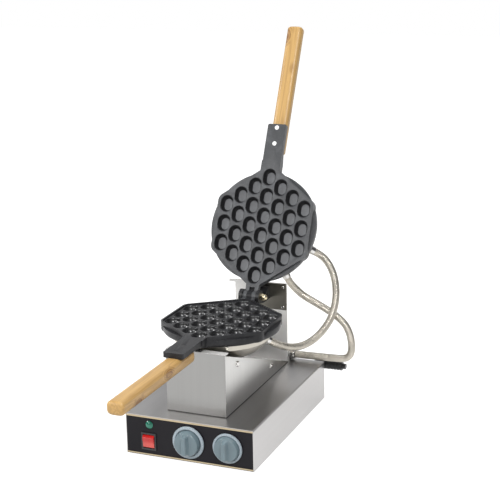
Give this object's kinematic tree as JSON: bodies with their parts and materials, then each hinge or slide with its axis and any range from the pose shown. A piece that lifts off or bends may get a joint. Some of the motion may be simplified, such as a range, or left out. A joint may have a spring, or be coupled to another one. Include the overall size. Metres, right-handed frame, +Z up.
{
  "type": "egg waffle pan",
  "caption": "Electric rotating egg waffle pan: steel base with knobs and switch, folded riser and column, two hinged cast plates with oval cells, wooden grips and metal hoses.",
  "frame": {"origin": "on the standing plane under the four feet, straight below the centre of the lower cooking plate", "axes": "+Z up, front panel and lower handle towards -Y, hinge column towards +Y, +X to the right as seen from the front"},
  "size_m": [0.2575, 0.6885, 0.5942],
  "materials": {
    "stainless": "brushed stainless sheet",
    "polished_steel": "polished",
    "dark_steel": "dark plate with a soft sheen",
    "panel_black": "satin black",
    "brass": "brushed brass",
    "cast_plate": "non-stick coated casting, dark grey",
    "black_casting": "black",
    "beech": "clear varnished light wood",
    "hose_braid": "braided metal",
    "knob_grey": "blue grey moulded",
    "black_plastic": "black",
    "rubber_black": "black rubber",
    "red_switch": "red translucent key",
    "green_lens": "green lens",
    "screw_steel": "bright zinc",
    "ceramic": "off-white",
    "heater_steel": "heat darkened tube"
  },
  "bodies": {
    "base": {"base_gland": "screw_steel", "base_shell": "stainless", "bearing_bush": "brass", "bearing_plate": "dark_steel", "bearing_screws": "screw_steel", "bottom_plate": "stainless", "column": "stainless", "column_screws": "screw_steel", "drip_tray": "stainless", "feet": "rubber_black", "front_panel": "panel_black", "hose_feed": "hose_braid", "hose_link": "hose_braid", "indicator_lamp": "green_lens", "panel_trim": "brass", "power_gland": "rubber_black", "riser_bracket": "stainless", "riser_screws": "screw_steel", "rocker_housing": "black_plastic", "terminal_block": "ceramic", "thermostat_body": "black_plastic", "timer_body": "black_plastic", "tray_screws": "screw_steel"},
    "turning_head": {"yoke": "black_casting", "pivot_shaft": "screw_steel", "pivot_nut": "screw_steel", "hinge_pin": "screw_steel", "acorn_nut": "brass"},
    "lower_pan": {"lower_cover": "polished_steel", "lower_cover_screws": "screw_steel", "lower_gland": "screw_steel", "lower_grip": "beech", "lower_grip_screws": "screw_steel", "lower_heater": "heater_steel", "lower_heater_clamp": "heater_steel", "lower_plate": "cast_plate"},
    "upper_pan": {"upper_cover": "polished_steel", "upper_cover_screws": "screw_steel", "upper_gland_feed": "screw_steel", "upper_gland_link": "screw_steel", "upper_grip": "beech", "upper_grip_screws": "screw_steel", "upper_heater": "heater_steel", "upper_heater_clamp": "heater_steel", "upper_plate": "cast_plate"},
    "timer_control": {"timer_knob": "knob_grey", "timer_shaft": "screw_steel"},
    "thermostat_control": {"thermostat_knob": "knob_grey", "thermostat_shaft": "screw_steel"},
    "switch_key": {"rocker": "red_switch"}
  },
  "joints": [
    {"name": "pan_turn", "type": "hinge", "parent": "base", "child": "turning_head", "pos_m": [0, 0.1157, 0.1856], "axis": [0, 1, 0], "range_deg": [-3, 3]},
    {"name": "pan_lift", "type": "hinge", "parent": "turning_head", "child": "lower_pan", "pos_m": [0, 0.1157, 0.1856], "axis": [-1, 0, 0], "range_deg": [0, 12], "deforming": ["hose_link", "hose_feed"]},
    {"name": "lid_hinge", "type": "hinge", "parent": "lower_pan", "child": "upper_pan", "pos_m": [0, 0.1157, 0.1856], "axis": [1, 0, 0], "range_deg": [0, 116.3], "deforming": ["hose_link", "hose_feed"]},
    {"name": "timer_turn", "type": "hinge", "parent": "base", "child": "timer_control", "pos_m": [0, -0.1398, 0.034], "axis": [0, 1, 0], "range_deg": [0, 300]},
    {"name": "thermostat_turn", "type": "hinge", "parent": "base", "child": "thermostat_control", "pos_m": [0.0622, -0.1398, 0.034], "axis": [0, 1, 0], "range_deg": [0, 270]},
    {"name": "switch_rock", "type": "hinge", "parent": "base", "child": "switch_key", "pos_m": [-0.065, -0.1254, 0.0258], "axis": [-1, 0, 0], "range_deg": [0, 16]}
  ]
}
